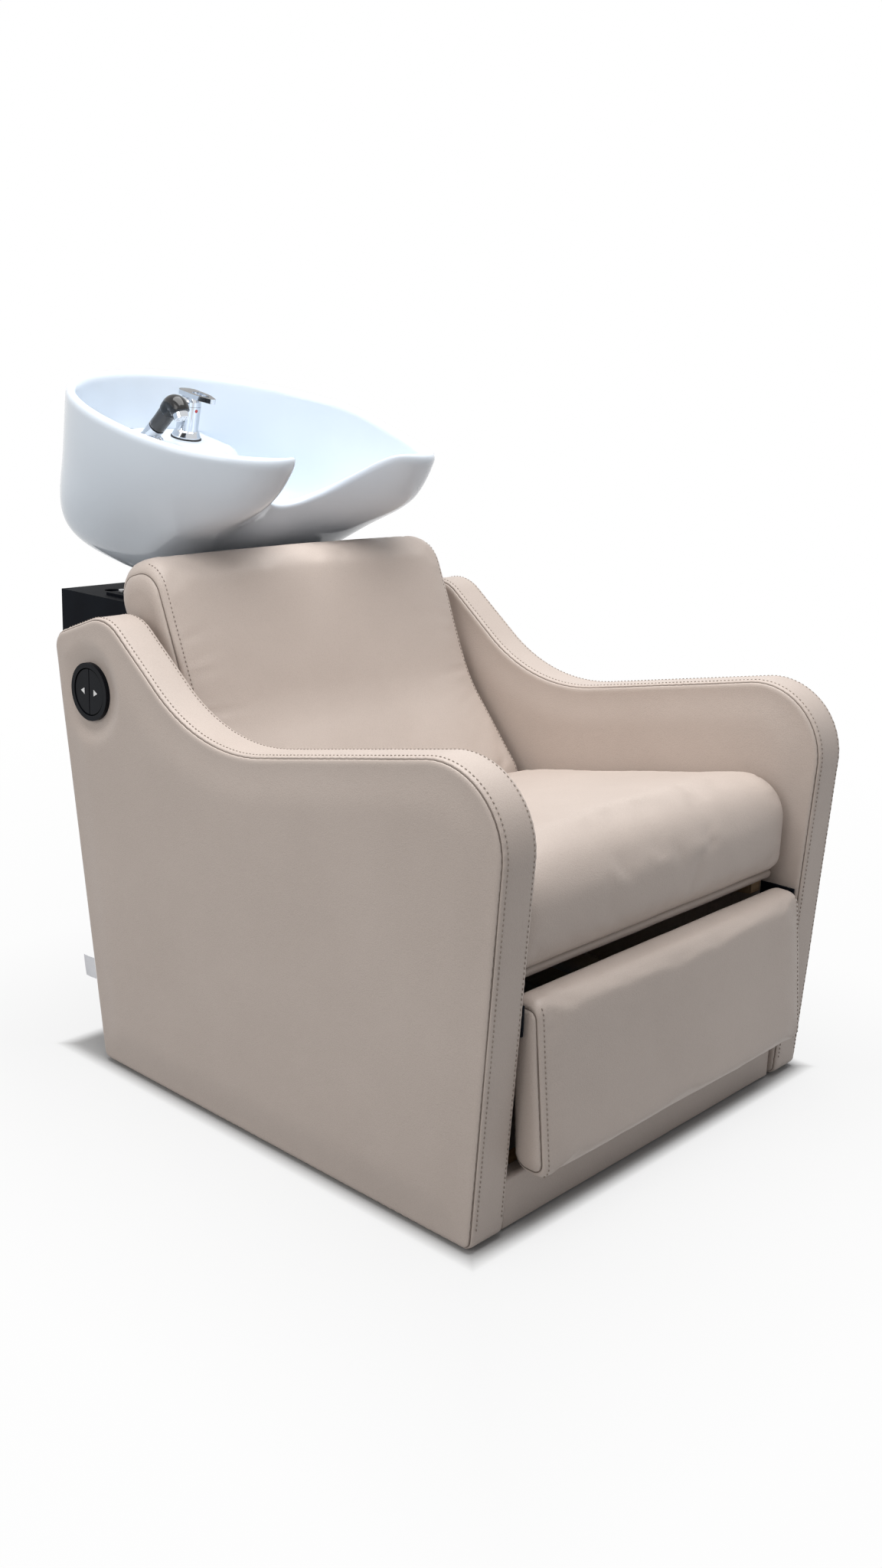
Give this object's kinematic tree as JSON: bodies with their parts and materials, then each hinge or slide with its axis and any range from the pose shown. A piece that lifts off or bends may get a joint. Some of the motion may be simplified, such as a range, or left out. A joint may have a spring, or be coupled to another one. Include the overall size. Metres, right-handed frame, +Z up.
{
  "type": "electric salon shampoo unit",
  "caption": "Upholstered salon backwash chair with a powered lifting footrest, arm-mounted switch and a tilting ceramic basin with neck recess, lever mixer and spray handset.",
  "frame": {"origin": "floor level under the middle of the overall box", "axes": "+Z up, the chair faces -Y, the sitter's right hand and the switch are at -X"},
  "size_m": [0.7, 1.0782, 0.9115],
  "materials": {
    "leather": "smooth grained upholstery leather, matte sheen",
    "timber": "planed, unfinished",
    "black_steel": "black powder coat",
    "steel": "zinc plated",
    "alloy": "satin",
    "black_plastic": "matte moulded",
    "handset_black": "gloss",
    "ceramic": "white glaze",
    "chrome": "polished plate",
    "rubber": "matte",
    "red": "gloss"
  },
  "bodies": {
    "chair": {"right_arm_panel": "leather", "left_arm_panel": "leather", "kick_panel": "leather", "floor_glides": "black_plastic", "front_base_rail": "timber", "rear_base_rail": "timber", "seat_rail_right": "timber", "seat_rail_left": "timber", "seat_deck": "timber", "seat_cushion": "leather", "seat_apron": "leather", "back_cushion": "leather", "back_rail": "timber", "rear_panel": "leather", "rear_post_right": "black_steel", "rear_post_left": "black_steel", "actuator_rail": "timber", "actuator_bracket": "black_steel", "clevis_pin": "steel", "actuator_gearbox": "black_plastic", "actuator_motor": "black_plastic", "actuator_sleeve": "alloy", "footrest_bracket_right": "black_steel", "footrest_bracket_left": "black_steel", "power_supply": "black_plastic", "supply_shelf": "timber", "switch_housing": "black_plastic", "switch_bezel": "black_plastic", "support_box": "black_steel", "box_ends": "black_steel", "box_bolts": "steel", "tilt_bracket": "black_steel", "bracket_screws": "steel", "hinge_bolt": "steel", "hinge_nut": "steel"},
    "footrest": {"footrest_pad": "leather", "footrest_board": "timber", "footrest_tube": "steel", "footrest_straps": "black_steel", "footrest_crank": "black_steel", "crank_pin": "steel"},
    "actuator_stroke": {"actuator_rod": "steel", "rod_crosshead": "steel"},
    "raise_key": {"button_raise": "black_plastic"},
    "lower_key": {"button_lower": "black_plastic"},
    "basin_unit": {"basin": "ceramic", "basin_yoke": "black_steel", "drain_flange": "chrome", "drain_nut": "black_plastic", "tailpipe": "black_plastic", "mixer_gasket": "rubber", "mixer_body": "chrome", "temperature_dot": "red", "mixer_shank": "steel", "tap_nuts": "steel", "handset_holder": "chrome"},
    "tap_cap": {"mixer_cap": "chrome"},
    "tap_lever": {"mixer_lever": "chrome"},
    "handset": {"handset_body": "handset_black", "handset_nozzle": "chrome"}
  },
  "joints": [
    {"name": "footrest_lift", "type": "hinge", "parent": "chair", "child": "footrest", "pos_m": [0, -0.4864, 0.262], "axis": [-1, 0, 0], "range_deg": [0, 80]},
    {"name": "actuator_extend", "type": "slide", "parent": "chair", "child": "actuator_stroke", "axis": [0, -1, 0], "range_m": [0, 0.07723]},
    {"name": "raise_press", "type": "slide", "parent": "chair", "child": "raise_key", "axis": [1, 0, 0], "range_m": [0, 0.0015], "stiffness_N_per_m": 400},
    {"name": "lower_press", "type": "slide", "parent": "chair", "child": "lower_key", "axis": [1, 0, 0], "range_m": [0, 0.0015], "stiffness_N_per_m": 400},
    {"name": "basin_tilt", "type": "hinge", "parent": "chair", "child": "basin_unit", "pos_m": [0, 0.3976, 0.616], "axis": [-1, 0, 0], "range_deg": [0, 10]},
    {"name": "tap_swivel", "type": "hinge", "parent": "basin_unit", "child": "tap_cap", "pos_m": [0.034, 0.4666, 0.8122], "axis": [0, -0.1961, 0.9806], "range_deg": [-45, 45]},
    {"name": "lever_lift", "type": "hinge", "parent": "tap_cap", "child": "tap_lever", "pos_m": [0.034, 0.46566, 0.87809], "axis": [-1, 0, 0], "range_deg": [0, 20]},
    {"name": "handset_lift", "type": "slide", "parent": "basin_unit", "child": "handset", "axis": [0, -0.7582, 0.652], "range_m": [0, 0.08]}
  ],
  "couplings": [
    {"joint": "actuator_extend", "follows": "footrest_lift", "m_per_rad": 0.055244}
  ]
}
